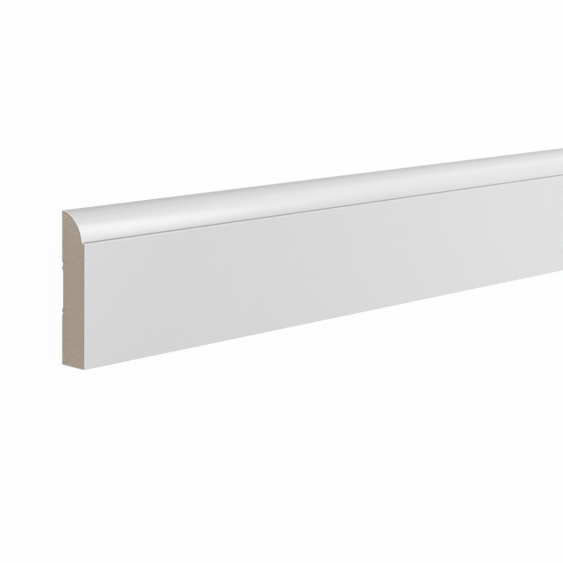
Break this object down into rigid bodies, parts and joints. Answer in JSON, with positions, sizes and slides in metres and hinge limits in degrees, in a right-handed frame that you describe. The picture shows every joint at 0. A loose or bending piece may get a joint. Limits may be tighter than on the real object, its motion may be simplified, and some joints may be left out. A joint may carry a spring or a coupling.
{
  "type": "skirting board length",
  "caption": "Straight length of white coated MDF skirting board with a rounded top edge, a narrow ledge under it, a flat face and a relieved back.",
  "frame": {"origin": "middle of the back, on the plane that the board lies on", "axes": "+X along the length, +Y from the bottom edge to the rounded top edge, +Z from the back up to the face"},
  "size_m": [2.4, 0.07, 0.015],
  "materials": {
    "white_coat": "satin"
  },
  "bodies": {
    "root": {"skirting_board": "white_coat"}
  },
  "joints": []
}
